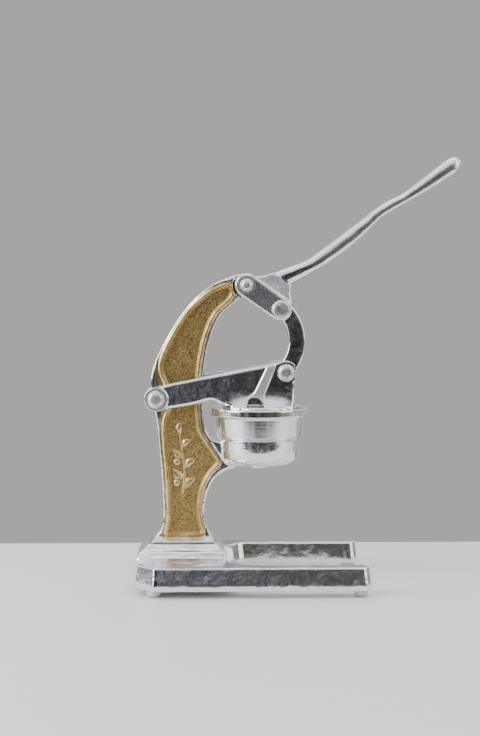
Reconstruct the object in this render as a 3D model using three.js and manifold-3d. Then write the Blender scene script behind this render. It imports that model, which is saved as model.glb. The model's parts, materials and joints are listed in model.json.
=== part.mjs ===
// Lever citrus press in cast aluminium, in millimetres.
// +X points to the open front of the base, +Z up; the column stands on the plane Y = 0.
// The origin lies under the middle of the press, on the table.
import * as THREE from "three";
import { mergeVertices } from "three/addons/utils/BufferGeometryUtils.js";
import Module from "manifold-3d";

const wasm = await Module();
wasm.setup();

// Clearance between neighbouring pieces, and the overshoot that makes a cut run past a face.
const GAP = 0.3;
const PAST = 5;

// Pivot axes, all parallel to Y, as [x, z].
const PIVOT_TOP = [-52, 297.5];
const PIVOT_KNEE = [-18, 273.5];
const PIVOT_FRONT = [-13, 211.5];
const PIVOT_REAR = [-141, 185.5];

// Bolts: M8 on the moving links and the base, M10 at the rear pivot.
const BOLT = 4;
const REAR_BOLT = 5;
const KNEE_BORE = 7.4;

// Base: a U-shaped plate with two front legs and a pedestal for the column.
const BASE = { rear: -160.5, front: 67.5, half: 80.5, bottom: 6.6, top: 29, leg: 23 };
const PEDESTAL = { top: 42, half: 19, rear: -149.5, front: -80, flare: 12 };
const FOOT_RADIUS = 7.5;
const FOOT_REACH = { rear: -142, front: 57, side: 67.5 };
const COLUMN_BOLTS = [-130, -98];

// Column: a curved slab with a recessed panel on each side.
const COLUMN_HALF = 14;
const COLUMN_FOOT = PEDESTAL.top + GAP;
const PANEL_DEPTH = 3;
const TOP_BOSS = { radius: 12, half: 9.5 };

// Cup, holder and presser share one vertical axis.
const CUP_X = -38.5;
const HOLDER_RIM = 146;
const CUP_TOP = 176;

// Lever, link and press arm.
const LEVER_HALF = 20;
const FORK_INNER = 10.5;
const LINK_HALF = 9;
const ARM_HALF = 24;
const ARM_FORK_INNER = 15;
const EAR_HALF = 22;
const WEB_REAR = -73;

const ROUND = 40;
const FINE = 20;
const WASHER = 1.3;

// ---- shared geometry ----

// A closed three.js geometry as a solid that can be joined and cut.
function solid(geometry) {
  geometry.deleteAttribute("normal");
  geometry.deleteAttribute("uv");
  const merged = mergeVertices(geometry, 1e-4);
  return new wasm.Manifold(
    new wasm.Mesh({
      numProp: 3,
      vertProperties: merged.attributes.position.array,
      triVerts: new Uint32Array(merged.index.array),
    }),
  );
}

function join(...solids) {
  return solids.reduce((whole, next) => whole.add(next));
}

function cut(whole, ...tools) {
  return tools.reduce((rest, tool) => rest.subtract(tool), whole);
}

function points(pairs) {
  return pairs.map(([a, b]) => new THREE.Vector2(a, b));
}

// A shape of straight runs and smooth runs: each smooth run is an array of points.
function outline(start, ...runs) {
  const shape = new THREE.Shape();
  shape.moveTo(...start);
  for (const run of runs) {
    if (Array.isArray(run[0])) {
      shape.splineThru(points(run));
    } else {
      shape.lineTo(...run);
    }
  }
  return shape;
}

// An extrusion with rounded edges or, given its own inset, with straight sloping edges.
function extrude(shape, depth, edge, curveSegments, inset = edge) {
  return new THREE.ExtrudeGeometry(shape, {
    depth: depth - 2 * edge,
    bevelEnabled: edge > 0,
    bevelThickness: edge,
    bevelSize: inset,
    bevelOffset: -inset,
    bevelSegments: inset === edge ? 2 : 1,
    curveSegments,
  }).translate(0, 0, edge);
}

// A side view drawn as (x, z), given thickness from y0 to y1.
function sideSlab(shape, y0, y1, edge = 0, curveSegments = 3) {
  const geometry = extrude(shape, y1 - y0, edge, curveSegments);
  return solid(geometry.rotateX(Math.PI / 2).translate(0, y1, 0));
}

// A plan view drawn as (x, y), given height from z0 to z1.
function planSlab(shape, z0, z1, edge = 0, curveSegments = 6, inset = edge) {
  return solid(extrude(shape, z1 - z0, edge, curveSegments, inset).translate(0, 0, z0));
}

function block(x0, x1, y0, y1, z0, z1) {
  const geometry = new THREE.BoxGeometry(x1 - x0, y1 - y0, z1 - z0);
  return solid(geometry.translate((x0 + x1) / 2, (y0 + y1) / 2, (z0 + z1) / 2));
}

// A round bar parallel to Y through (x, z).
function rod(radius, [x, z], y0, y1, sides = FINE) {
  const geometry = new THREE.CylinderGeometry(radius, radius, y1 - y0, sides);
  return solid(geometry.translate(x, (y0 + y1) / 2, z));
}

// A round bar parallel to Z through (x, y).
function post(radius, [x, y], z0, z1, sides = FINE) {
  const geometry = new THREE.CylinderGeometry(radius, radius, z1 - z0, sides);
  return solid(geometry.rotateX(Math.PI / 2).translate(x, y, (z0 + z1) / 2));
}

// A turned solid about Z at (x, 0) from a profile of (radius, z) points.
function turned(profile, x = 0, sides = ROUND) {
  const geometry = new THREE.LatheGeometry(points(profile), sides);
  return solid(geometry.rotateX(Math.PI / 2).translate(x, 0, 0));
}

// Two equal bodies on both sides of the plane Y = 0.
function mirrored(make) {
  return join(make(-1), make(1));
}

// The outline of two circles joined by their outer tangents.
function strap([ax, az], ra, [bx, bz], rb) {
  const heading = Math.atan2(bz - az, bx - ax);
  const lean = Math.acos((ra - rb) / Math.hypot(bx - ax, bz - az));
  const shape = new THREE.Shape();
  shape.absarc(ax, az, ra, heading + lean, heading - lean + 2 * Math.PI, false);
  shape.absarc(bx, bz, rb, heading - lean, heading + lean, false);
  shape.closePath();
  return shape;
}

function mesh(name, body, material) {
  const { vertProperties, triVerts } = body.getMesh();
  const geometry = new THREE.BufferGeometry();
  geometry.setAttribute("position", new THREE.Float32BufferAttribute(vertProperties, 3));
  geometry.setIndex(new THREE.Uint32BufferAttribute(triVerts, 1));
  geometry.computeVertexNormals();
  const made = new THREE.Mesh(geometry, material);
  made.name = name;
  return made;
}

// ---- materials ----

const aluminium = () =>
  new THREE.MeshStandardMaterial({ color: 0xc9cbcc, roughness: 0.18, metalness: 1 });
const steel = () =>
  new THREE.MeshStandardMaterial({ color: 0xb9bbbd, roughness: 0.28, metalness: 1 });
const rubber = () =>
  new THREE.MeshStandardMaterial({ color: 0xd7d4be, roughness: 0.55, metalness: 0 });

// ---- base ----

function basePlan() {
  const { rear, front, half, leg } = BASE;
  const inner = half - leg;
  const cornerCut = 18.5;
  const gapRear = -74;
  const bend = { x: 28, y: 46 };
  const tip = front - leg / 2;
  const shape = new THREE.Shape();
  shape.moveTo(rear, cornerCut - half);
  shape.lineTo(rear + cornerCut, -half);
  shape.lineTo(tip, -half);
  shape.absarc(tip, -half + leg / 2, leg / 2, -Math.PI / 2, Math.PI / 2, false);
  shape.lineTo(gapRear + bend.x, -inner);
  shape.absellipse(gapRear + bend.x, bend.y - inner, bend.x, bend.y, -Math.PI / 2, Math.PI, true);
  shape.lineTo(gapRear, inner - bend.y);
  shape.absellipse(gapRear + bend.x, inner - bend.y, bend.x, bend.y, Math.PI, Math.PI / 2, true);
  shape.lineTo(tip, inner);
  shape.absarc(tip, half - leg / 2, leg / 2, -Math.PI / 2, Math.PI / 2, false);
  shape.lineTo(rear + cornerCut, half);
  shape.lineTo(rear, half - cornerCut);
  shape.closePath();
  return shape;
}

// The pedestal narrows in two steps: one outline seen from the side, one from the front.
function pedestal() {
  const { top, half, rear, front, flare } = PEDESTAL;
  const low = BASE.top - flare / 2;
  const steps = [[flare, BASE.top + 1], [7, top - 6.5], [5.5, top - 6], [0, top]];
  const stepped = (from, to) =>
    outline([from - flare, low], [to + flare, low], ...steps.map(([out, z]) => [to + out, z]),
      ...steps.toReversed().map(([out, z]) => [from - out, z]));
  const across = sideSlab(stepped(rear, front), -half - flare, half + flare);
  const along = solid(
    extrude(stepped(-half, half), front - rear + 2 * flare, 0, 1)
      .rotateX(Math.PI / 2)
      .rotateZ(Math.PI / 2)
      .translate(rear - flare, 0, 0),
  );
  return across.intersect(along);
}

function base() {
  const edge = 17;
  const inset = 3;
  const plate = cut(
    planSlab(basePlan(), BASE.bottom - edge, BASE.top, edge, 6, inset),
    block(-200, 100, -100, 100, BASE.bottom - 20, BASE.bottom),
  );
  const headRoom = 13;
  const bores = COLUMN_BOLTS.flatMap((x) => [
    post(BOLT + GAP, [x, 0], 0, PEDESTAL.top + PAST),
    post(10, [x, 0], 0, BASE.bottom + headRoom),
  ]);
  const underPlan = planSlab(basePlan(), BASE.bottom, PEDESTAL.top + 1);
  return cut(join(plate, pedestal().intersect(underPlan)), ...bores);
}

// A domed bumper under the plate, flat where it touches the table.
function bumper() {
  const height = BASE.bottom - GAP;
  const sole = 4;
  const crown = new THREE.EllipseCurve(sole, height * 0.6, FOOT_RADIUS - sole, height * 0.6,
    -Math.PI / 2, 0);
  const dome = crown.getPoints(4).map((p) => [p.x, p.y]);
  return turned([[0, 0], ...dome, [FOOT_RADIUS, height], [0, height]], 0, FINE);
}

// ---- column with cup holder ----

function columnSide() {
  return outline(
    [-151, COLUMN_FOOT - 12],
    [-148, COLUMN_FOOT - 2],
    [[-143, 47], [-136.5, 57], [-134.5, 78], [-137, 118], [-141, 162], [-147, 192]],
    [[-146.5, 210], [-138, 232.5], [-120.5, 262.5], [-106, 281.5], [-88, 297], [-65, 307]],
    [-54, PIVOT_TOP[1] + TOP_BOSS.radius - 0.5],
    [-44, PIVOT_TOP[1] - 6],
    [-58, 284.5],
    [[-68, 277], [-79, 265.5], [-88.5, 242.5], [-94, 212.5], [-95, 182], [-93, 157], [-87, 146]],
    [-70, 141],
    [-57, 130],
    [-57, 122],
    [-65, 115.5],
    [[-71, 114], [-79, 109.5], [-87.5, 99.5], [-93, 81], [-92.5, 66], [-88, 51.5]],
    [-81.5, COLUMN_FOOT - 2],
    [-78, COLUMN_FOOT - 12],
  );
}

// The recessed field of a side panel, a constant rim inside the column's outline.
function panelSide() {
  return outline(
    [-130, 52],
    [[-127.5, 62], [-127, 80], [-129, 118], [-132, 158], [-126, 178], [-126, 195]],
    [[-135, 214], [-131, 231.5], [-115.2, 261], [-102, 277], [-86.5, 289.5], [-71, 296.5]],
    [[-66.5, 291.5], [-69.5, 285]],
    [[-85.5, 269], [-95.5, 244], [-101, 212.5], [-102, 182], [-100.5, 157], [-96, 146]],
    [-80, 122.5],
    [[-92, 109], [-99, 90], [-100, 70], [-96, 52]],
  );
}

// The flared foot, wider than the slab above it.
function columnFlare() {
  const low = COLUMN_HALF + 4;
  const shape = outline([-low, COLUMN_FOOT], [low, COLUMN_FOOT], [low, COLUMN_FOOT + 2],
    [[COLUMN_HALF + 1, COLUMN_FOOT + 4.5], [COLUMN_HALF - 1, COLUMN_FOOT + 10]],
    [1 - COLUMN_HALF, COLUMN_FOOT + 10],
    [[-COLUMN_HALF - 1, COLUMN_FOOT + 4.5], [-low, COLUMN_FOOT + 2]]);
  const along = extrude(shape, 100, 0, 3)
    .rotateX(Math.PI / 2)
    .rotateZ(Math.PI / 2)
    .translate(-160, 0, 0);
  return solid(along).intersect(sideSlab(columnSide(), -2 * low, 2 * low));
}

function holderShell() {
  return turned([[6.5, 115.5], [9, 115.5], [10, 119.5], [28, 119.5], [33, 120.6], [36.6, 123.2],
    [38.6, 126.6], [40.2, 133], [40.9, HOLDER_RIM], [38.2, HOLDER_RIM], [37.9, 130.5],
    [36.2, 126.8], [33, 125], [6.5, 122.5], [6.5, 115.5]], CUP_X);
}

function holderHollow() {
  return turned([[0, 110], [6.5, 110], [6.5, 122.5], [33, 125], [36.2, 126.8], [37.9, 130.5],
    [38.2, HOLDER_RIM + PAST], [0, HOLDER_RIM + PAST]], CUP_X);
}

function column() {
  const slab = sideSlab(columnSide(), -COLUMN_HALF, COLUMN_HALF, 2.5, 2);
  const topBoss = rod(TOP_BOSS.radius, PIVOT_TOP, -TOP_BOSS.half, TOP_BOSS.half, 28);
  const rearBoss = rod(11, PIVOT_REAR, -COLUMN_HALF, COLUMN_HALF, 28);
  const panels = mirrored((side) => {
    const floor = COLUMN_HALF - PANEL_DEPTH;
    const [y0, y1] = side < 0 ? [-COLUMN_HALF - PAST, -floor] : [floor, COLUMN_HALF + PAST];
    return sideSlab(panelSide(), y0, y1, 0, 2);
  });
  // The lever's cheeks pass on both sides of the thinner top boss.
  const cheekRoom = mirrored((side) => {
    const [y0, y1] = side < 0 ? [-30, -TOP_BOSS.half] : [TOP_BOSS.half, 30];
    return join(rod(13.2, PIVOT_TOP, y0, y1, 28), block(-57, -30, y0, y1, 270, 300));
  });
  const studs = COLUMN_BOLTS.map((x) => post(BOLT + GAP, [x, 0], 0, 68));
  return cut(
    join(cut(slab, holderHollow()), topBoss, rearBoss, columnFlare(), holderShell()),
    block(-170, -60, -30, 30, COLUMN_FOOT - 20, COLUMN_FOOT),
    panels,
    cheekRoom,
    rod(BOLT + GAP, PIVOT_TOP, -30, 30),
    rod(REAR_BOLT + GAP, PIVOT_REAR, -30, 30),
    ...studs,
  );
}

// ---- strainer cup ----

function strainerCup() {
  const seat = HOLDER_RIM + GAP;
  const cup = turned([[0, 127.5], [30, 127.5], [34, 129.5], [36.4, 133], [37.2, 137],
    [37.4, seat], [43, seat], [43.4, seat + 1.5], [45.3, 167.5], [48.8, 168.5], [50, 169.6],
    [50, 174.6], [49, CUP_TOP], [43.4, CUP_TOP], [42.4, 174.5], [41, 152], [38.5, 144.5],
    [34.3, 137.5], [32, 132.6], [28, 130.5], [0, 130.5]], CUP_X);
  const rings = [[1, 0], [6, 12], [12, 24]];
  const holes = rings.flatMap(([count, radius]) =>
    Array.from({ length: count }, (_, i) => {
      const turn = (2 * Math.PI * i) / count;
      const centre = [CUP_X + radius * Math.cos(turn), radius * Math.sin(turn)];
      return post(1.9, centre, 120, 140, 8);
    }),
  );
  return cut(cup, ...holes);
}

// ---- lever ----

// Rounded sections along the handle's middle line, as [x, z, half height, half width].
const HANDLE = [[-34, 297.5, 8, 5], [-14, 304.8, 8.6, 9.5], [11.5, 316.3, 7.2, 12.5],
  [26, 325.6, 7.7, 11.5], [52.7, 345.5, 7.6, 10.5], [66.6, 357, 6.7, 10], [78.7, 367.9, 5.8, 9.5],
  [89.9, 375.3, 5.8, 9], [105.4, 383.6, 5.2, 8.4], [132.6, 401.4, 7.4, 10],
  [150.5, 414.3, 8.2, 10.8], [156.5, 418.4, 7.2, 9.5], [160, 420.8, 4, 5.5], [160.8, 421.4, 1, 1.5]];

// A bar of softly squared sections: a unit cylinder bent and swelled along its own axis.
function bentBar(stations, sides, steps) {
  const squareness = 2.7;
  const middle = new THREE.CatmullRomCurve3(stations.map(([x, z]) => new THREE.Vector3(x, 0, z)));
  const sizes = new THREE.CatmullRomCurve3(
    stations.map(([, , high, wide]) => new THREE.Vector3(high, wide, 0)),
  );
  const geometry = new THREE.CylinderGeometry(1, 1, 1, sides, steps);
  const position = geometry.attributes.position;
  for (let i = 0; i < position.count; i++) {
    const [x, t, z] = [position.getX(i), position.getY(i) + 0.5, position.getZ(i)];
    const sum = Math.abs(x) ** squareness + Math.abs(z) ** squareness;
    const swell = sum > 0 ? sum ** (-1 / squareness) : 1;
    const at = middle.getPoint(t);
    const along = middle.getTangent(t);
    const size = sizes.getPoint(t);
    const rise = x * swell * size.x;
    position.setXYZ(i, at.x - along.z * rise, z * swell * size.y, at.z + along.x * rise);
  }
  return solid(geometry);
}

// The web between the pivots and the handle leans inwards as it rises.
function leverWeb() {
  const side = outline([-50, 290], [-50, 307], [[-38, 306.2], [-27, 309], [-10, 314]], [2, 310],
    [-7, 299], [-8.5, 290], [-7, 278], [-15, 270], [-30, 283]);
  const lean = outline([-17, -20], [17, -20], [17, 1], [9, 26], [-9, 26], [-17, 1]);
  const heading = Math.atan2(PIVOT_KNEE[1] - PIVOT_TOP[1], PIVOT_KNEE[0] - PIVOT_TOP[0]);
  const wedge = solid(
    extrude(lean, 120, 0, 1)
      .rotateX(Math.PI / 2)
      .rotateZ(Math.PI / 2)
      .translate(-30, 0, 0)
      .rotateY(-heading)
      .translate(PIVOT_TOP[0], 0, PIVOT_TOP[1]),
  );
  return sideSlab(side, -17, 17, 0, 2).intersect(wedge);
}

function lever() {
  const plate = sideSlab(strap(PIVOT_TOP, 11.5, PIVOT_KNEE, 11), -LEVER_HALF, LEVER_HALF, 2, 8);
  const whole = join(plate, leverWeb(), bentBar(HANDLE, 20, 36));
  // Room between the cheeks for the column's top and the link's eye.
  const room = sideSlab(
    outline([-75, 250], [10, 250], [10, 268], [-2.5, 284], [-12, 289.5], [-27, 289.5],
      [-37.5, 297.5], [-40.5, 307], [-46, 313], [-75, 320]),
    -FORK_INNER, FORK_INNER,
  );
  return cut(
    whole,
    room,
    rod(BOLT + GAP, PIVOT_TOP, -30, 30),
    rod(BOLT + GAP, PIVOT_KNEE, -30, 30),
  );
}

// ---- link ----

// A C-shaped bar whose middle line is an arc through both of its pivots.
const LINK_ARC = { x: -43.4, z: 242.5, inner: 33.5, outer: 50.5 };
const LINK_EYE = 11;

function link() {
  const { x, z, inner, outer } = LINK_ARC;
  const from = Math.atan2(PIVOT_FRONT[1] - z, PIVOT_FRONT[0] - x);
  const to = Math.atan2(PIVOT_KNEE[1] - z, PIVOT_KNEE[0] - x);
  const band = new THREE.Shape();
  band.absarc(x, z, outer, from, to, false);
  band.absarc(x, z, inner, to, from, true);
  band.closePath();
  return cut(
    join(
      sideSlab(band, -LINK_HALF, LINK_HALF, 2, 9),
      rod(LINK_EYE, PIVOT_KNEE, -LINK_HALF, LINK_HALF, 28),
      rod(LINK_EYE, PIVOT_FRONT, -LINK_HALF, LINK_HALF, 28),
    ),
    rod(KNEE_BORE, PIVOT_KNEE, -30, 30),
    rod(BOLT + GAP, PIVOT_FRONT, -30, 30),
  );
}

// ---- press arm with its domed presser ----

function armSide() {
  const shape = outline(
    [-141, 197.3],
    [[-126, 201.5], [-108, 205], [-78, 211], [-33, 219.5], [-22, 222.5]],
  );
  shape.absarc(...PIVOT_FRONT, 11.7, (115 * Math.PI) / 180, 0.7, true);
  shape.lineTo(-4.3, 205);
  shape.lineTo(-4.3, 171);
  shape.lineTo(-62, 171);
  shape.splineThru(points([[-66, 176.5], [-75, 178.8], [-82, 182.6], [-88, 183.8], [-95, 182.2],
    [-108, 179], [-126, 176], [-141, 173.7]]));
  return shape;
}

// The slanted rib that stands proud of the side and forks over the arched pocket.
function ribSide() {
  return outline([-31.5, 217.5], [-23.5, 219], [-34.8, 190.5], [-35, 171.5], [-66, 171.5],
    [-64.5, 175], [-43.8, 192]);
}

// An arched pocket under the fork of the rib.
function archPocket() {
  const [x, z, radius] = [-43.7, 179.5, 8.7];
  const shape = new THREE.Shape();
  shape.moveTo(x - radius, 160);
  shape.lineTo(x - radius, z);
  shape.absarc(x, z, radius, Math.PI, 0, true);
  shape.lineTo(x + radius, 160);
  shape.closePath();
  return shape;
}

function presser() {
  return turned([[0, 153], [10, 153.6], [20, 156], [27, 159.3], [32.5, 164], [36, 169.5],
    [36.8, 172], [36.8, 176.5], [35.6, 178], [0, 178]], CUP_X);
}

function pressArm() {
  const body = join(
    sideSlab(armSide(), -EAR_HALF, EAR_HALF, 3, 2),
    rod(11.8, PIVOT_REAR, -ARM_HALF, ARM_HALF, 28),
    sideSlab(ribSide(), -ARM_HALF, ARM_HALF),
    rod(11.7, PIVOT_FRONT, -EAR_HALF, EAR_HALF, 28).intersect(block(-30, -4.3, -30, 30, 190, 230)),
  );
  const pockets = mirrored((side) => {
    const [y0, y1] = side < 0 ? [-30, -12] : [12, 30];
    return sideSlab(archPocket(), y0, y1, 0, 5);
  });
  const linkRoom = join(
    rod(12.6, PIVOT_FRONT, -LINK_HALF - 1, LINK_HALF + 1, 28),
    sideSlab(outline([-25.6, 211.5], [-13, 198.9], [20, 198.9], [20, 240], [-27, 240]),
      -LINK_HALF - 1, LINK_HALF + 1),
  );
  const columnRoom = block(-170, WEB_REAR, -ARM_FORK_INNER, ARM_FORK_INNER, 150, 240);
  return cut(
    join(cut(body, pockets), presser()),
    linkRoom,
    columnRoom,
    rod(BOLT + GAP, PIVOT_FRONT, -30, 30),
    rod(REAR_BOLT + GAP, PIVOT_REAR, -30, 30),
  );
}

// ---- fasteners, each made about its own axis ----

// A turned head on a round shank along Y; the head is at the near end.
function pin(shank, headProfile, length) {
  const head = solid(new THREE.LatheGeometry(points(headProfile), FINE));
  return head.add(rod(shank, [0, 0], -0.5, length));
}

// Head profiles run from the axis under the head to the crown, towards -Y.
function domedHead(radius, height) {
  const crown = new THREE.EllipseCurve(0, -height * 0.35, radius, height * 0.65, 0, -Math.PI / 2, true);
  return [...crown.getPoints(4).reverse().map((p) => [Math.max(p.x, 0), p.y]), [radius, 0], [0, 0]];
}

function flatHead(radius, height) {
  return [[0, -height], [radius - 2, -height], [radius - 0.6, 0.8 - height], [radius, 2 - height],
    [radius, 0], [0, 0]];
}

function hexBolt(length) {
  const head = solid(new THREE.CylinderGeometry(7.5, 7.5, 5.3, 6).translate(0, -2.65, 0));
  return head.add(rod(BOLT, [0, 0], -0.5, length));
}

function acornBolt(length) {
  const hex = solid(new THREE.CylinderGeometry(8.7, 8.7, 4.4, 6).translate(0, -2.2, 0));
  const cap = solid(new THREE.LatheGeometry(points([[0, -8], [3, -7.5], [5.4, -6.2], [6.7, -4.2],
    [6.7, -1], [0, -1]]), FINE));
  return join(hex, cap, rod(BOLT, [0, 0], -0.5, length));
}

function hexNut(shank, radius, height) {
  const body = solid(new THREE.CylinderGeometry(radius, radius, height, 6).translate(0, height / 2, 0));
  return body.subtract(rod(shank + GAP, [0, 0], -PAST, height + PAST));
}

function washer(shank, radius) {
  return rod(radius, [0, 0], 0, WASHER).subtract(rod(shank + GAP, [0, 0], -PAST, PAST));
}

// ---- assembly ----

const press = new THREE.Group();

function place(made, x, y, z) {
  made.position.set(x, y, z);
  return made;
}

press.add(
  mesh("base", base(), aluminium()),
  mesh("column", column(), aluminium()),
  mesh("strainer_cup", strainerCup(), aluminium()),
  mesh("lever", lever(), aluminium()),
  mesh("link", link(), aluminium()),
  mesh("press_arm", pressArm(), aluminium()),
);

for (const [end, x] of [["rear", FOOT_REACH.rear], ["front", FOOT_REACH.front]]) {
  for (const [hand, y] of [["right", -FOOT_REACH.side], ["left", FOOT_REACH.side]]) {
    press.add(place(mesh(`foot_${end}_${hand}`, bumper(), rubber()), x, y, 0));
  }
}

// The two bolts that hold the column stand upright in the base.
["rear", "front"].forEach((end, i) => {
  const group = new THREE.Group();
  const seat = BASE.bottom + 13 - GAP - WASHER;
  const bolt = mesh(`column_bolt_${end}`, hexBolt(46), steel());
  const ring = mesh(`column_washer_${end}`, washer(BOLT, 8.8), steel());
  bolt.rotation.x = Math.PI / 2;
  ring.rotation.x = Math.PI / 2;
  bolt.position.z = -GAP;
  group.add(bolt, ring);
  press.add(place(group, COLUMN_BOLTS[i], 0, seat));
});

// A pivot's pin, nut and washers, stacked outwards from the pieces it joins.
function pivot(name, [x, z], half, pinBody, nut, ring) {
  const group = new THREE.Group();
  const stack = ring ? GAP + WASHER : 0;
  const near = mesh(`${name}_bolt`, pinBody, steel());
  const far = mesh(`${name}_nut`, nut, steel());
  group.add(place(near, 0, -half - GAP - stack, 0), place(far, 0, half + GAP + stack, 0));
  if (ring) {
    group.add(
      place(mesh(`${name}_washer_near`, ring, steel()), 0, -half - stack, 0),
      place(mesh(`${name}_washer_far`, ring, steel()), 0, half + GAP, 0),
    );
  }
  press.add(place(group, x, 0, z));
}

pivot("lever", PIVOT_TOP, LEVER_HALF, acornBolt(52), hexNut(BOLT, 8, 6.5), washer(BOLT, 9.3));
pivot("knee", PIVOT_KNEE, LEVER_HALF, pin(BOLT, flatHead(9.2, 4.6), 47.5), hexNut(BOLT, 7.8, 5));
pivot("link", PIVOT_FRONT, EAR_HALF, pin(BOLT, domedHead(8.7, 5), 51.5), hexNut(BOLT, 7.8, 5));
pivot("arm", PIVOT_REAR, ARM_HALF, pin(REAR_BOLT, domedHead(9, 6.5), 61), hexNut(REAR_BOLT, 9.2, 6.5),
  washer(REAR_BOLT, 10.8));

export default press;
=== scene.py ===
"""The lever citrus press as it looks: polished sand castings, gold side panels, turned cup."""

import json
import math

import bmesh
import bpy
import numpy as np
from mathutils import Matrix, Vector
from mathutils.kdtree import KDTree


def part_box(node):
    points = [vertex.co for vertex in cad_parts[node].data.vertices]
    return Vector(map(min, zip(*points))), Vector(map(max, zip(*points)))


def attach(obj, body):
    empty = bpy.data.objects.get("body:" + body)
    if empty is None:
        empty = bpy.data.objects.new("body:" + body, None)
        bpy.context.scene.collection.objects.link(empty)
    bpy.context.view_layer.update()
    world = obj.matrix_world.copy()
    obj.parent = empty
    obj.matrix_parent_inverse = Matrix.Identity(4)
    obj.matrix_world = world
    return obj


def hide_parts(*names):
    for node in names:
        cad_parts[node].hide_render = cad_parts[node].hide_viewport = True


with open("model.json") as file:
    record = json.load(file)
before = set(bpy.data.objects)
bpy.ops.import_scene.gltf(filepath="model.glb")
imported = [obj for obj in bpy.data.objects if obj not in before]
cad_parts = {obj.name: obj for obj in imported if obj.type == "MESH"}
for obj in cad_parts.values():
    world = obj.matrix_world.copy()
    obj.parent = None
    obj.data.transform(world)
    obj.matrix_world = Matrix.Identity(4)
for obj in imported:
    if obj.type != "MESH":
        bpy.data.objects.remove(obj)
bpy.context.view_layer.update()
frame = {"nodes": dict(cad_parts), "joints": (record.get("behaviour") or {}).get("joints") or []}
NODES = frame["nodes"]
JOINTS = {joint["name"]: joint for joint in frame["joints"]}

MM = 0.001
PIVOT_TOP = Vector(JOINTS["lever_swing"]["pos_m"])
PIVOT_FRONT = Vector(JOINTS["link_swing"]["pos_m"])
PIVOT_REAR = Vector(JOINTS["arm_swing"]["pos_m"])
CUP_AXIS = Vector(JOINTS["cup_turn"]["pos_m"])

# Half thickness of the column's slab, and the depth of its sunk panels, from the middle plane.
SLAB_HALF = 14 * MM
PANEL_BED = 11 * MM
# Half thickness of the lever's pivot plate, and of the press arm over its rib.
PLATE_HALF = 20 * MM
RIB_HALF = 24 * MM
# Half thickness of the press arm's body, and how far its foot spreads along the presser.
BODY_HALF = 22 * MM
FOOT_SPREAD = 34 * MM

# Strainer cup: height of the seat above its underside, and its rings of holes (count, radius).
SEAT_HEIGHT = 18.8 * MM
HOLE_RADIUS = 1.9 * MM
HOLE_RINGS = ((1, 0.0), (6, 12 * MM), (12, 24 * MM))


def centre(node):
    """The middle of a CAD node's box."""
    low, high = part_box(node)
    return (Vector(low) + Vector(high)) / 2


# ---- node materials ----


class Shader:
    """A node material with one Principled shader and short ways to add nodes to it."""

    def __init__(self, name, metallic, roughness):
        self.material = bpy.data.materials.new(name)
        self.material.use_nodes = True
        self.tree = self.material.node_tree
        self.bsdf = self.tree.nodes["Principled BSDF"]
        self.bsdf.inputs["Metallic"].default_value = metallic
        self.bsdf.inputs["Roughness"].default_value = roughness
        self.coords = self.tree.nodes.new("ShaderNodeTexCoord").outputs["Object"]

    def node(self, kind, inputs=None, **settings):
        made = self.tree.nodes.new(kind)
        for key, value in settings.items():
            setattr(made, key, value)
        for key, value in (inputs or {}).items():
            self.feed(made.inputs[key], value)
        return made

    def feed(self, socket, value):
        if isinstance(value, bpy.types.NodeSocket):
            self.tree.links.new(value, socket)
        else:
            socket.default_value = value

    def stretched(self, scale):
        return self.node("ShaderNodeMapping", {"Vector": self.coords, "Scale": scale}).outputs[0]

    def noise(self, scale, detail=3.0, rough=0.5, vector=None, distortion=0.0):
        inputs = {
            "Vector": vector or self.coords,
            "Scale": scale,
            "Detail": detail,
            "Roughness": rough,
            "Distortion": distortion,
        }
        return self.node("ShaderNodeTexNoise", inputs).outputs["Fac"]

    def spread(self, value, low, high, to_low=0.0, to_high=1.0):
        inputs = {0: value, 1: low, 2: high, 3: to_low, 4: to_high}
        return self.node("ShaderNodeMapRange", inputs).outputs[0]

    def blend(self, factor, first, second):
        made = self.node("ShaderNodeMix", data_type="RGBA")
        self.feed(made.inputs["Factor"], factor)
        self.feed(made.inputs["A"], first)
        self.feed(made.inputs["B"], second)
        return made.outputs["Result"]

    def between(self, factor, first, second):
        made = self.node("ShaderNodeMix", data_type="FLOAT")
        self.feed(made.inputs["Factor"], factor)
        self.feed(made.inputs["A"], first)
        self.feed(made.inputs["B"], second)
        return made.outputs["Result"]

    def math(self, operation, first, second=0.0):
        made = self.node("ShaderNodeMath", operation=operation)
        self.feed(made.inputs[0], first)
        self.feed(made.inputs[1], second)
        return made.outputs[0]

    def mask(self, name):
        return self.node("ShaderNodeAttribute", attribute_name=name).outputs["Fac"]

    def bump(self, height, distance, below=None):
        inputs = {"Height": height, "Distance": distance, "Strength": 1.0}
        if below is not None:
            inputs["Normal"] = below
        return self.node("ShaderNodeBump", inputs).outputs[0]

    def set(self, **sockets):
        for name, value in sockets.items():
            self.feed(self.bsdf.inputs[name.replace("_", " ")], value)
        return self.material


def rgb(red, green, blue):
    return (red, green, blue, 1.0)


SILVER = rgb(0.88, 0.89, 0.90)
SILVER_DULL = rgb(0.60, 0.61, 0.61)


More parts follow.
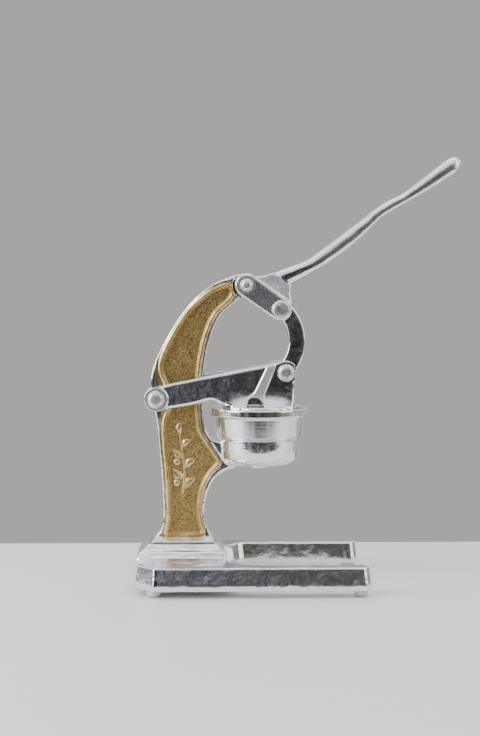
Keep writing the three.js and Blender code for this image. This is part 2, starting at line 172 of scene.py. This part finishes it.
def cast_metal(shader):
    """Colour, roughness and bump of hand-polished cast aluminium, duller where it is brushed."""
    brushed = shader.mask("brushed")
    waves = shader.noise(30, 2.0, 0.45)
    smear = shader.noise(120, 4.0, 0.6, shader.stretched((1, 1, 2.5)), 0.6)
    hairs = shader.noise(1500, 2.0, 0.7, shader.stretched((1, 0.08, 0.5)))
    pits = shader.spread(shader.noise(700, 2.0, 0.5), 0.70, 0.78)
    colour = shader.blend(shader.spread(smear, 0.45, 0.75, 0.0, 0.55), SILVER, SILVER_DULL)
    polished = shader.spread(smear, 0.3, 0.75, 0.07, 0.22)
    roughness = shader.between(brushed, polished, shader.spread(hairs, 0.3, 0.7, 0.34, 0.5))
    normal = shader.bump(waves, 0.9 * MM)
    normal = shader.bump(shader.noise(130, 2.0, 0.5), 0.28 * MM, normal)
    normal = shader.bump(hairs, 0.02 * MM, normal)
    normal = shader.bump(shader.math("MULTIPLY", pits, -1.0), 0.05 * MM, normal)
    return colour, roughness, normal


def aluminium_material():
    shader = Shader("polished_aluminium", 1.0, 0.15)
    colour, roughness, normal = cast_metal(shader)
    return shader.set(Base_Color=colour, Roughness=roughness, Normal=normal)


def gold_paint(shader, sunk):
    """Antique-gold paint: mottled and pebbled in the sunk field, brassy and smooth on the rim."""
    grain = shader.noise(700, 4.0, 0.65)
    blotch = shader.noise(90, 4.0, 0.6, None, 0.5)
    field = shader.blend(shader.spread(grain, 0.36, 0.66), rgb(0.13, 0.075, 0.02), rgb(0.72, 0.52, 0.22))
    field = shader.blend(shader.spread(blotch, 0.35, 0.75, 0.0, 0.6), field, rgb(0.34, 0.22, 0.07))
    rim = shader.blend(shader.spread(blotch, 0.4, 0.7), rgb(0.52, 0.35, 0.13), rgb(0.82, 0.66, 0.38))
    colour = shader.blend(sunk, rim, field)
    roughness = shader.between(sunk, shader.spread(blotch, 0.3, 0.7, 0.26, 0.38),
                               shader.spread(grain, 0.3, 0.7, 0.36, 0.55))
    height = shader.math("MULTIPLY", grain, shader.between(sunk, 0.25, 1.0))
    return colour, roughness, height


def column_material():
    shader = Shader("column_finish", 1.0, 0.2)
    silver, silver_rough, normal = cast_metal(shader)
    edge_noise = shader.spread(shader.noise(260, 3.0), 0.3, 0.7, -0.16, 0.16)
    painted = shader.spread(shader.math("ADD", shader.mask("gold"), edge_noise), 0.42, 0.58)
    gold, gold_rough, grain = gold_paint(shader, shader.mask("sunk"))
    height = shader.math("MULTIPLY", grain, painted)
    return shader.set(
        Base_Color=shader.blend(painted, silver, gold),
        Roughness=shader.between(painted, silver_rough, gold_rough),
        Normal=shader.bump(height, 0.4 * MM, normal),
    )


def relief_material():
    shader = Shader("relief_gold", 1.0, 0.3)
    worn = shader.spread(shader.noise(300, 3.0, 0.6), 0.45, 0.65)
    colour = shader.blend(worn, rgb(0.60, 0.43, 0.18), rgb(0.88, 0.74, 0.48))
    height = shader.noise(600, 2.0)
    return shader.set(Base_Color=colour, Roughness=shader.spread(worn, 0.0, 1.0, 0.4, 0.22),
                      Normal=shader.bump(height, 0.15 * MM))


def turned_material():
    """Lathe-turned and buffed aluminium: fine rings round the cup's axis."""
    shader = Shader("turned_aluminium", 1.0, 0.12)
    rings = shader.noise(1.0, 3.0, 0.6, shader.stretched((12, 12, 2600)))
    soft = shader.noise(70, 3.0, 0.5)
    colour = shader.blend(shader.spread(soft, 0.4, 0.75, 0.0, 0.3), rgb(0.84, 0.84, 0.84), SILVER_DULL)
    normal = shader.bump(shader.noise(22, 1.0), 0.5 * MM)
    normal = shader.bump(rings, 0.02 * MM, normal)
    return shader.set(Base_Color=colour, Roughness=shader.spread(rings, 0.3, 0.7, 0.08, 0.2),
                      Normal=normal)


def steel_material():
    shader = Shader("satin_steel", 1.0, 0.35)
    cloud = shader.noise(260, 4.0, 0.6)
    colour = shader.blend(shader.spread(cloud, 0.4, 0.7), rgb(0.76, 0.76, 0.75), rgb(0.46, 0.46, 0.47))
    normal = shader.bump(shader.noise(300, 3.0, 0.6), 0.35 * MM)
    return shader.set(Base_Color=colour, Roughness=shader.spread(cloud, 0.3, 0.7, 0.26, 0.48),
                      Normal=normal)


def rubber_material():
    shader = Shader("bumper_rubber", 0.0, 0.4)
    cloud = shader.noise(240, 3.0, 0.5)
    colour = shader.blend(cloud, rgb(0.62, 0.58, 0.42), rgb(0.80, 0.78, 0.66))
    shader.bsdf.inputs["Subsurface Weight"].default_value = 0.35
    shader.bsdf.inputs["Subsurface Radius"].default_value = (0.006, 0.005, 0.003)
    return shader.set(Base_Color=colour, Roughness=shader.spread(cloud, 0.3, 0.7, 0.32, 0.5),
                      Normal=shader.bump(shader.noise(900, 2.0), 0.05 * MM))


ALUMINIUM = aluminium_material()
COLUMN = column_material()
RELIEF = relief_material()
TURNED = turned_material()
STEEL = steel_material()
RUBBER = rubber_material()


# ---- mesh building ----


def link_piece(name, mesh, material, body, nodes=()):
    """A finished piece in the scene, riding on its body and standing for its CAD nodes."""
    piece = bpy.data.objects.new(name, mesh)
    bpy.context.scene.collection.objects.link(piece)
    mesh.materials.clear()
    mesh.materials.append(material)
    mesh.shade_smooth()
    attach(piece, body)
    if nodes:
        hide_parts(*nodes)
    return piece


def with_modifiers(mesh, *modifiers):
    """A new mesh: the given one with (type, settings) modifiers applied in order."""
    holder = bpy.data.objects.new("holder", mesh)
    bpy.context.scene.collection.objects.link(holder)
    for kind, settings in modifiers:
        modifier = holder.modifiers.new(kind, kind)
        for key, value in settings.items():
            setattr(modifier, key, value)
    graph = bpy.context.evaluated_depsgraph_get()
    made = bpy.data.meshes.new_from_object(holder.evaluated_get(graph))
    bpy.data.objects.remove(holder)
    return made


def coordinates(mesh):
    flat = np.empty(len(mesh.vertices) * 3, np.float32)
    mesh.vertices.foreach_get("co", flat)
    return flat.reshape(-1, 3).astype(np.float64)


def normals(mesh):
    flat = np.empty(len(mesh.vertices) * 3, np.float32)
    mesh.vertex_normals.foreach_get("vector", flat)
    return flat.reshape(-1, 3).astype(np.float64)


def write_coordinates(mesh, points):
    mesh.vertices.foreach_set("co", points.astype(np.float32).ravel())
    mesh.update()


def write_mask(mesh, name, values):
    layer = mesh.attributes.new(name, "FLOAT", "POINT")
    layer.data.foreach_set("value", values.astype(np.float32))


def ripple(points, size, seed):
    """Smooth pseudo-random waves of unit height over space, from a few crossing sines."""
    source = np.random.default_rng(seed)
    total = np.zeros(len(points))
    for _ in range(9):
        way = source.normal(size=3)
        way *= 2 * math.pi / (size * source.uniform(0.7, 1.6) * np.linalg.norm(way))
        total += np.sin(points @ way + source.uniform(0, 2 * math.pi))
    return total / 4


def casting(node, voxel, rounds, swell, seed):
    """A CAD casting with rounded edges and the slight waves that hand polishing leaves."""
    mesh = with_modifiers(
        NODES[node].data.copy(),
        ("REMESH", {"mode": "VOXEL", "voxel_size": voxel}),
        ("SMOOTH", {"factor": 0.5, "iterations": rounds}),
    )
    points = coordinates(mesh)
    points += normals(mesh) * (ripple(points, 16 * MM, seed) * swell)[:, None]
    write_coordinates(mesh, points)
    return mesh


def round_out(mesh, low, high, reach, sides=40):
    """Turns the faceted walls about the cup's axis into true circles."""
    points = coordinates(mesh)
    offset = points[:, :2] - np.array(CUP_AXIS[:2])
    radius = np.hypot(offset[:, 0], offset[:, 1])
    inside = (radius < reach) & (points[:, 2] > low) & (points[:, 2] < high)
    facet = 2 * math.pi / sides
    turn = np.mod(np.arctan2(offset[:, 1], offset[:, 0]), facet) - facet / 2
    grow = np.where(inside, np.cos(turn) / math.cos(facet / 2), 1.0)
    points[:, :2] = np.array(CUP_AXIS[:2]) + offset * grow[:, None]
    write_coordinates(mesh, points)


def fillet(profile, radius, steps=4):
    """An open profile with rounded inner corners; a close point on each side keeps the flats flat."""
    out = [Vector(profile[0])]
    for before, corner, after in zip(profile, profile[1:], profile[2:]):
        before, corner, after = Vector(before), Vector(corner), Vector(after)
        cut = min(radius, (before - corner).length / 2.6, (after - corner).length / 2.6)
        back, ahead = (before - corner).normalized() * cut, (after - corner).normalized() * cut
        out.append(corner + back * 1.2)
        for step in range(steps + 1):
            t = step / steps
            out.append(corner + back * (1 - t) ** 2 + ahead * t * t)
        out.append(corner + ahead * 1.2)
    out.append(Vector(profile[-1]))
    return out


def revolve(profile, place, sides):
    """A turned mesh. profile holds (radius, height) in metres; place maps the Z axis to its own."""
    made = bmesh.new()
    rings = []
    for radius, height in profile:
        if radius < 1e-7:
            rings.append([made.verts.new(place @ Vector((0, 0, height)))])
            continue
        turns = (2 * math.pi * i / sides for i in range(sides))
        rings.append([
            made.verts.new(place @ Vector((radius * math.cos(t), radius * math.sin(t), height)))
            for t in turns
        ])
    for low, high in zip(rings, rings[1:]):
        for i in range(sides):
            j = (i + 1) % sides
            corners = [low[i % len(low)], low[j % len(low)], high[j % len(high)], high[i % len(high)]]
            unique = list(dict.fromkeys(corners))
            if len(unique) > 2:
                made.faces.new(unique)
    bmesh.ops.recalc_face_normals(made, faces=made.faces)
    mesh = bpy.data.meshes.new("turned")
    made.to_mesh(mesh)
    made.free()
    return mesh


# ---- base and column ----


def make_base():
    mesh = casting("base", 0.9 * MM, 14, 0.14 * MM, 3)
    link_piece("base_casting", mesh, ALUMINIUM, "frame", ["base"])


def nearest(points, targets, chosen):
    """Distance of each chosen point from the nearest target, seen from the side."""
    tree = KDTree(len(targets))
    for i, (x, _, z) in enumerate(targets):
        tree.insert((x, z, 0), i)
    tree.balance()
    distance = np.full(len(points), 1.0)
    for i in np.nonzero(chosen)[0]:
        distance[i] = tree.find((points[i, 0], points[i, 2], 0))[2]
    return distance


def panel_distances(mesh):
    """How far each vertex of the column's sides lies from the sunk panel and from the outline."""
    points, facing = coordinates(mesh), normals(mesh)
    depth = np.abs(points[:, 1])
    side = depth > 9.5 * MM
    bed = (np.abs(depth - PANEL_BED) < 0.5 * MM) & (np.abs(facing[:, 1]) > 0.9)
    bed &= (points[:, 0] < CUP_AXIS.x - 41 * MM) | (points[:, 2] > PIVOT_FRONT.z)
    bed &= np.hypot(points[:, 0] - PIVOT_TOP.x, points[:, 2] - PIVOT_TOP.z) > 14 * MM
    wall = (depth > 6 * MM) & (depth < 9 * MM) & (np.abs(facing[:, 1]) < 0.3)
    for pivot in (PIVOT_TOP, PIVOT_REAR):
        wall &= np.hypot(points[:, 0] - pivot.x, points[:, 2] - pivot.z) > 8 * MM
    return nearest(points, points[bed], side), nearest(points, points[wall], side)


def raise_bead(mesh, from_bed):
    """Raises the rim of the panels into a rounded bead with a faint groove outside it."""
    points = coordinates(mesh)
    outer = np.abs(points[:, 1]) > SLAB_HALF - 1.5 * MM
    place = np.clip((from_bed - 0.2 * MM) / (4.8 * MM), 0, 1)
    groove = np.exp(-(((from_bed - 5.6 * MM) / (0.8 * MM)) ** 2))
    lift = np.where(outer, (1.0 * np.sin(math.pi * place) - 0.3 - 0.35 * groove) * MM, 0)
    lift = np.where(from_bed > 7.5 * MM, 0, lift * np.clip((7.5 * MM - from_bed) / (1.5 * MM), 0, 1))
    points[:, 1] += np.sign(points[:, 1]) * lift
    write_coordinates(mesh, points)


def paint_masks(mesh, from_bed, from_outline):
    """Paint masks of the column: the sunk field, and the field together with its raised rim."""
    points = coordinates(mesh)
    depth = np.abs(points[:, 1])
    bracket = (points[:, 0] > CUP_AXIS.x - 54 * MM) & (points[:, 2] < 165 * MM)
    reach = np.where(bracket, 5.8 * MM, 9 * MM)
    gold = np.clip((reach - from_bed) / (1.4 * MM) + 0.5, 0, 1)
    gold *= np.clip((from_outline - 2.2 * MM) / (0.8 * MM) + 0.5, 0, 1)
    gold *= np.clip((depth - 10 * MM) / (0.8 * MM), 0, 1)
    sunk = np.clip((SLAB_HALF - 1.5 * MM - depth) / (0.8 * MM), 0, 1)
    sunk *= np.clip(1 - from_bed / (1.5 * MM), 0, 1)
    write_mask(mesh, "gold", gold)
    write_mask(mesh, "sunk", sunk)


def make_column():
    mesh = casting("column", 0.8 * MM, 8, 0.08 * MM, 5)
    round_out(mesh, 110 * MM, 148 * MM, 42 * MM)
    from_bed, from_outline = panel_distances(mesh)
    raise_bead(mesh, from_bed)
    paint_masks(mesh, from_bed, from_outline)
    link_piece("column_casting", mesh, COLUMN, "frame", ["column"])


# ---- leaf sprigs on the panels ----


def leaf(made, root, heading, length, width):
    """A pointed leaf with a sunk midrib. root and heading are seen from the panel's side."""
    along, across = 12, 8
    rows = []
    for i in range(along + 1):
        u = i / along
        half = width / 2 * math.sin(math.pi * u ** 0.85) ** 0.8 if 0 < i < along else 0.02 * MM
        row = []
        for j in range(across + 1):
            v = 2 * j / across - 1
            swell = (1 - v * v) * (0.35 + 0.65 * math.sin(math.pi * u)) * 2.2 * MM
            rib = 0.8 * MM * math.exp(-((v / 0.16) ** 2))
            bend = 0.12 * length * math.sin(math.pi * u)
            x = u * length
            y = v * half + bend
            turned = Matrix.Rotation(heading, 2) @ Vector((x, y))
            row.append(made.verts.new((root[0] + turned.x, root[1] + turned.y, swell - rib)))
        rows.append(row)
    for low, high in zip(rows, rows[1:]):
        for j in range(across):
            made.faces.new((low[j], low[j + 1], high[j + 1], high[j]))


def berry(made, at, radius):
    matrix = Matrix.Translation((at[0], at[1], 0)) @ Matrix.Diagonal((1, 1, 0.55, 1))
    bmesh.ops.create_uvsphere(made, u_segments=20, v_segments=12, radius=radius, matrix=matrix)


def stem(made, points, radius):
    """A half-sunk tapering stem along a line of points."""
    sides = 10
    rings = []
    for i, (x, y) in enumerate(points):
        ahead, behind = points[min(i + 1, len(points) - 1)], points[max(i - 1, 0)]
        way = (Vector(ahead) - Vector(behind)).normalized()
        size = radius * (1 - 0.45 * i / len(points))
        rings.append([
            made.verts.new((x - way.y * size * math.cos(t), y + way.x * size * math.cos(t),
                            size * math.sin(t)))
            for t in (2 * math.pi * k / sides for k in range(sides))
        ])
    for low, high in zip(rings, rings[1:]):
        for k in range(sides):
            made.faces.new((low[k], low[(k + 1) % sides], high[(k + 1) % sides], high[k]))
    made.faces.new(rings[0])
    made.faces.new(rings[-1])


def make_sprigs():
    """A cast sprig of citrus leaves and fruit, lying in the sunk field of each panel."""
    middle, foot, tall = -115.5 * MM, 90 * MM, 60 * MM
    line = [(middle + 2.5 * MM * math.sin(4.2 * t), foot + tall * t) for t in np.linspace(0, 1, 24)]
    for hand, side in (("near", -1), ("far", 1)):
        made = bmesh.new()
        stem(made, line, 1.7 * MM)
        for i in range(5):
            at = line[2 + 4 * i]
            lean = 0.85 if i % 2 else -0.85
            leaf(made, at, math.pi / 2 + lean, (17 - i) * MM, (9 - 0.5 * i) * MM)
        leaf(made, line[-1], math.pi / 2 - 0.1, 14 * MM, 7 * MM)
        for i, reach in ((5, 7.5), (13, 7.0)):
            berry(made, (line[i][0] - reach * MM, line[i][1] - 1.5 * MM), 3.6 * MM)
        bed = PANEL_BED - 0.1 * MM
        for vertex in made.verts:
            x, z, rise = vertex.co
            vertex.co = (x, side * (bed + rise), z)
        bmesh.ops.recalc_face_normals(made, faces=made.faces)
        mesh = bpy.data.meshes.new("sprig_" + hand)
        made.to_mesh(mesh)
        made.free()
        link_piece("sprig_" + hand, mesh, RELIEF, "frame")


# ---- strainer cup ----


def make_cup():
    """The turned cup, with a thin groove above its seat and a drilled bottom."""
    low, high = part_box("strainer_cup")
    top, seat = high[2], low[2] + SEAT_HEIGHT
    reach = (high[0] - low[0]) / 2
    outside = [
        (0, low[2]), (30 * MM, low[2]), (35.8 * MM, low[2] + 4 * MM), (37.2 * MM, seat),
        (43.2 * MM, seat), (43.3 * MM, seat + 0.8 * MM), (42.4 * MM, seat + 1.1 * MM),
        (42.5 * MM, seat + 1.9 * MM), (43.5 * MM, seat + 2.2 * MM),
        (45.3 * MM, top - 8.3 * MM), (reach, top - 7.6 * MM), (reach, top),
        (43.4 * MM, top), (41.2 * MM, top - 22 * MM), (38.3 * MM, top - 32 * MM),
        (33.5 * MM, low[2] + 8 * MM), (28 * MM, low[2] + 3 * MM), (0, low[2] + 3 * MM),
    ]
    place = Matrix.Translation((CUP_AXIS.x, CUP_AXIS.y, 0))
    cup = revolve(fillet(outside, 1.4 * MM), place, 160)
    drills = bmesh.new()
    for count, radius in HOLE_RINGS:
        for i in range(count):
            turn = 2 * math.pi * i / count
            at = Vector((CUP_AXIS.x + radius * math.cos(turn), radius * math.sin(turn), low[2]))
            bmesh.ops.create_cone(drills, cap_ends=True, segments=20, radius1=HOLE_RADIUS,
                                  radius2=HOLE_RADIUS, depth=20 * MM, matrix=Matrix.Translation(at))
    drill_mesh = bpy.data.meshes.new("drills")
    drills.to_mesh(drill_mesh)
    drills.free()
    cutter = bpy.data.objects.new("drills", drill_mesh)
    bpy.context.scene.collection.objects.link(cutter)
    cup = with_modifiers(cup, ("BOOLEAN", {"operation": "DIFFERENCE", "object": cutter}))
    bpy.data.objects.remove(cutter)
    link_piece("cup_turned", cup, TURNED, "cup", ["strainer_cup"])


# ---- lever, link and press arm ----


def brush_flats(mesh, level, amount, bar=0.0):
    """Marks the proud flats of a casting, dressed with a belt, and the lever's rubbed bar."""
    points, facing = coordinates(mesh), normals(mesh)
    near = np.clip((np.abs(points[:, 1]) - level + 0.7 * MM) / (0.4 * MM), 0, 1)
    flat = np.clip((np.abs(facing[:, 1]) - 0.8) / 0.15, 0, 1)
    out = np.clip((points[:, 0] - PIVOT_TOP.x - 60 * MM) / (30 * MM), 0, 1)
    write_mask(mesh, "brushed", np.maximum(amount * near * flat, bar * out))


def flare_foot(mesh, low, high, reach):
    """Spreads the foot of the press arm's body outwards in a hollow curve onto the presser."""
    points = coordinates(mesh)
    depth = np.abs(points[:, 1]) / BODY_HALF
    drop = np.clip((high - points[:, 2]) / (high - low), 0, 1) ** 2
    inner = np.clip(depth, 0, 1) ** 4 * np.clip((1.45 - depth) / 0.45, 0, 1)
    across = np.sqrt(np.clip(1 - ((points[:, 0] - CUP_AXIS.x) / FOOT_SPREAD) ** 2, 0, 1))
    above = np.clip((points[:, 2] - low + 2 * MM) / (2 * MM), 0, 1)
    points[:, 1] += np.sign(points[:, 1]) * reach * drop * inner * across * above
    write_coordinates(mesh, points)


def make_linkage():
    lever = casting("lever", 0.7 * MM, 9, 0.1 * MM, 11)
    brush_flats(lever, PLATE_HALF, 0.5, 0.4)
    link_piece("lever_casting", lever, ALUMINIUM, "lever", ["lever"])
    link = casting("link", 0.7 * MM, 10, 0.12 * MM, 13)
    link_piece("link_casting", link, ALUMINIUM, "link", ["link"])
    arm = casting("press_arm", 0.6 * MM, 6, 0.08 * MM, 17)
    brush_flats(arm, RIB_HALF, 1.0)
    round_out(arm, 150 * MM, 171 * MM, 42 * MM)
    flare_foot(arm, 175 * MM, 194 * MM, 7.5 * MM)
    link_piece("press_arm_casting", arm, ALUMINIUM, "press_arm", ["press_arm"])


# ---- fasteners and bumpers ----


def steel_nodes():
    """Nuts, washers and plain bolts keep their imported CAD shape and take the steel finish."""
    for name, node in NODES.items():
        if name.endswith(("_nut", "_washer_near", "_washer_far", "_washer_rear", "_washer_front")) \
                or name.startswith("column_bolt") or name == "lever_bolt":
            node.data.materials.clear()
            node.data.materials.append(STEEL)


def make_head(name, node, body, profile):
    """A turned bolt whose head faces the near side."""
    low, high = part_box(node)
    middle = centre(node)
    length = high[1] - low[1]
    place = Matrix.Translation((middle.x, low[1], middle.z)) @ Matrix.Rotation(-math.pi / 2, 4, "X")
    points = [(r * MM, h * MM) for r, h in profile]
    shank = points[-1][0]
    points += [(shank, length - 0.6 * MM), (shank - 0.6 * MM, length), (0, length)]
    mesh = revolve(fillet(points, 1.3 * MM), place, 64)
    spots = coordinates(mesh)
    spots += normals(mesh) * (ripple(spots, 5 * MM, len(name)) * 0.1 * MM)[:, None]
    write_coordinates(mesh, spots)
    link_piece(name, mesh, STEEL, body, [node])


def make_bumpers():
    for node in [name for name in NODES if name.startswith("foot_")]:
        low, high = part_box(node)
        reach = (high[0] - low[0]) / 2
        height = high[2]
        profile = [(0, 0), (4 * MM, 0), (6.4 * MM, 1.6 * MM), (7.3 * MM, 4.6 * MM), (reach, height),
                   (0, height)]
        middle = centre(node)
        mesh = revolve(fillet(profile, 1.2 * MM), Matrix.Translation((middle.x, middle.y, 0)), 48)
        link_piece(node + "_bumper", mesh, RUBBER, "frame", [node])


# ---- stage, light and camera ----


def make_stage():
    mesh = bpy.data.meshes.new("table")
    near, far, side = -0.5, 0.22, 1.9
    corners = [(-side, near, 0), (side, near, 0), (side, far, 0), (-side, far, 0)]
    mesh.from_pydata(corners, [], [(0, 1, 2, 3)])
    table = bpy.data.objects.new("table", mesh)
    bpy.context.scene.collection.objects.link(table)
    shader = Shader("table_white", 0.0, 0.45)
    mesh.materials.append(shader.set(Base_Color=rgb(0.80, 0.80, 0.795)))


def make_light(name, location, target, size, power, tint):
    data = bpy.data.lights.new(name, "AREA")
    data.shape = "RECTANGLE"
    data.size, data.size_y = size
    data.energy = power
    data.color = tint
    lamp = bpy.data.objects.new(name, data)
    lamp.location = location
    lamp.rotation_euler = (Vector(target) - Vector(location)).to_track_quat("-Z", "Y").to_euler()
    bpy.context.scene.collection.objects.link(lamp)


def make_world():
    """A pale room behind the press, dark low down in front of it, with soft clouds over it all."""
    world = bpy.data.worlds.new("room")
    bpy.context.scene.world = world
    world.use_nodes = True
    tree = world.node_tree
    nodes, links = tree.nodes, tree.links
    coords = nodes.new("ShaderNodeTexCoord")
    split = nodes.new("ShaderNodeSeparateXYZ")
    links.new(coords.outputs["Generated"], split.inputs[0])

    def ramp(value, low, high):
        made = nodes.new("ShaderNodeMapRange")
        made.interpolation_type = "SMOOTHSTEP"
        links.new(value, made.inputs[0])
        made.inputs[1].default_value = low
        made.inputs[2].default_value = high
        return made.outputs[0]

    def clouds(scale, low, high):
        made = nodes.new("ShaderNodeTexNoise")
        links.new(coords.outputs["Generated"], made.inputs["Vector"])
        made.inputs["Scale"].default_value = scale
        made.inputs["Detail"].default_value = 3.0
        return ramp(made.outputs[0], low, high)

    def mix(factor, first, second, blend="MIX"):
        made = nodes.new("ShaderNodeMix")
        made.data_type = "RGBA"
        made.blend_type = blend
        for key, value in (("Factor", factor), ("A", first), ("B", second)):
            if isinstance(value, (tuple, float)):
                made.inputs[key].default_value = value
            else:
                links.new(value, made.inputs[key])
        return made.outputs["Result"]

    across, away, up = [split.outputs[axis] for axis in "XYZ"]
    low = mix(ramp(across, -0.3, 0.4), rgb(0.018, 0.021, 0.036), rgb(0.085, 0.070, 0.048))
    low = mix(clouds(7.0, 0.52, 0.68), low, rgb(0.42, 0.44, 0.50))
    front = mix(ramp(up, 0.2, 0.7), low, rgb(1.45, 1.5, 1.6))
    back = mix(ramp(up, 0.12, 0.5), rgb(0.62, 0.61, 0.59), rgb(1.65, 1.63, 1.6))
    room = mix(ramp(away, -0.35, 0.4), front, back)
    shade = mix(clouds(2.6, 0.34, 0.56), rgb(0.3, 0.3, 0.32), rgb(1.0, 1.0, 1.0))
    room = mix(1.0, room, shade, "MULTIPLY")
    path = nodes.new("ShaderNodeLightPath")
    seen = mix(path.outputs["Is Camera Ray"], room, rgb(0.46, 0.455, 0.435))
    links.new(seen, nodes["Background"].inputs["Color"])


def make_camera():
    data = bpy.data.cameras.new("camera")
    data.lens = 67.46
    data.sensor_width = 36.0
    camera = bpy.data.objects.new("camera", data)
    camera.location = (-0.0857, -1.3735, 0.2871)
    aim = Vector((-0.058, 0.0, 0.2152)) - camera.location
    camera.rotation_euler = aim.to_track_quat("-Z", "Y").to_euler()
    bpy.context.scene.collection.objects.link(camera)
    bpy.context.scene.camera = camera


make_base()
make_column()
make_sprigs()
make_cup()
make_linkage()
steel_nodes()
make_head("knee_pin", "knee_bolt", "lever",
          [(0, 0), (4, 0.25), (7.6, 1.0), (9.2, 2.6), (9.2, 4.6), (4, 4.6)])
make_head("link_pin", "link_bolt", "press_arm",
          [(0, 0), (5, 0.4), (7.7, 2.0), (8.7, 4.0), (8.7, 5), (4, 5)])
make_head("arm_pin", "arm_bolt", "press_arm",
          [(0, 0), (5, 0.4), (7.6, 2.2), (9, 4.8), (9, 6.5), (5, 6.5)])
make_bumpers()
make_stage()
make_light("key_left", (-1.5, -0.7, 0.9), (0, 0, 0.2), (1.1, 1.5), 34, (1.0, 0.99, 0.97))
make_light("fill_right", (1.5, -0.8, 0.8), (0, 0, 0.2), (1.0, 1.4), 9, (1.0, 1.0, 1.0))
make_light("top", (0.0, 0.1, 1.7), (0, 0, 0), (1.6, 1.2), 6, (1.0, 1.0, 1.0))
make_world()
make_camera()
